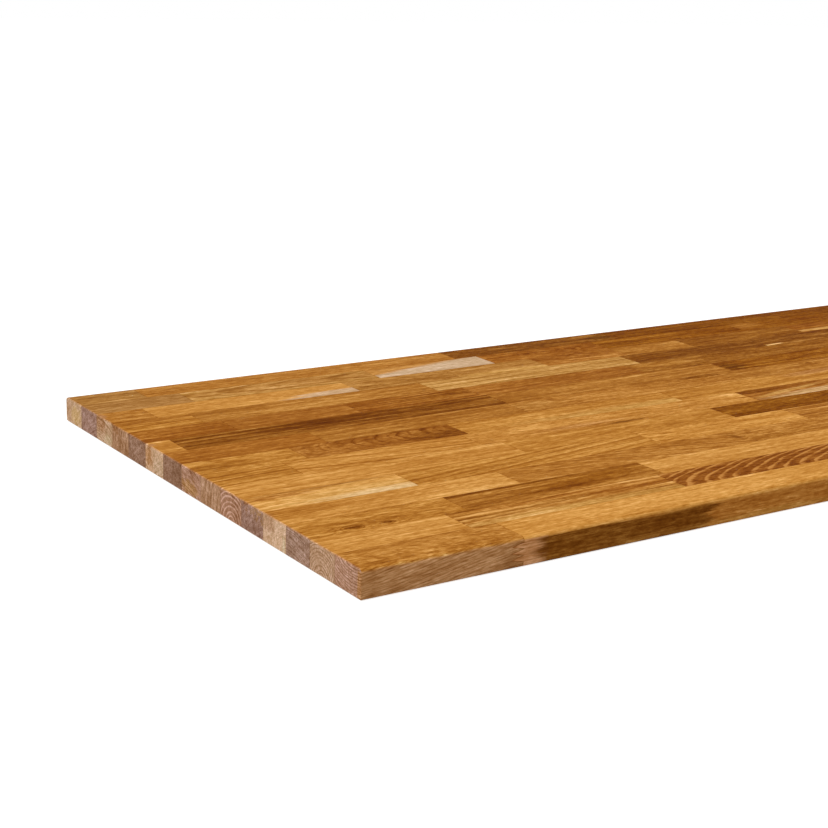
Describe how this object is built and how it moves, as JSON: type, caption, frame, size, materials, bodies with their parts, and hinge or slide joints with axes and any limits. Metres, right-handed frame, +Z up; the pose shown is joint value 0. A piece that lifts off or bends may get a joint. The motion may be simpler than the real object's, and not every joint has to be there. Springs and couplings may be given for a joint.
{
  "type": "butcher block countertop",
  "caption": "Flat hardwood countertop panel glued up from rows of finger-jointed staves, with rounded long edges and square sawn ends.",
  "frame": {"origin": "middle of the underside", "axes": "+X along the staves, +Y across them to the back edge, +Z up"},
  "size_m": [2, 0.62, 0.027],
  "materials": {
    "oiled_hardwood": "oiled satin, with pale sapwood and dark heartwood staves mixed"
  },
  "bodies": {
    "root": {"row_01_odd_staves": "oiled_hardwood", "row_01_even_staves": "oiled_hardwood", "row_02_odd_staves": "oiled_hardwood", "row_02_even_staves": "oiled_hardwood", "row_03_odd_staves": "oiled_hardwood", "row_03_even_staves": "oiled_hardwood", "row_04_odd_staves": "oiled_hardwood", "row_04_even_staves": "oiled_hardwood", "row_05_odd_staves": "oiled_hardwood", "row_05_even_staves": "oiled_hardwood", "row_06_odd_staves": "oiled_hardwood", "row_06_even_staves": "oiled_hardwood", "row_07_odd_staves": "oiled_hardwood", "row_07_even_staves": "oiled_hardwood", "row_08_odd_staves": "oiled_hardwood", "row_08_even_staves": "oiled_hardwood", "row_09_odd_staves": "oiled_hardwood", "row_09_even_staves": "oiled_hardwood", "row_10_odd_staves": "oiled_hardwood", "row_10_even_staves": "oiled_hardwood", "row_11_odd_staves": "oiled_hardwood", "row_11_even_staves": "oiled_hardwood", "row_12_odd_staves": "oiled_hardwood", "row_12_even_staves": "oiled_hardwood", "row_13_odd_staves": "oiled_hardwood", "row_13_even_staves": "oiled_hardwood", "row_14_odd_staves": "oiled_hardwood", "row_14_even_staves": "oiled_hardwood", "row_15_odd_staves": "oiled_hardwood", "row_15_even_staves": "oiled_hardwood"}
  },
  "joints": []
}
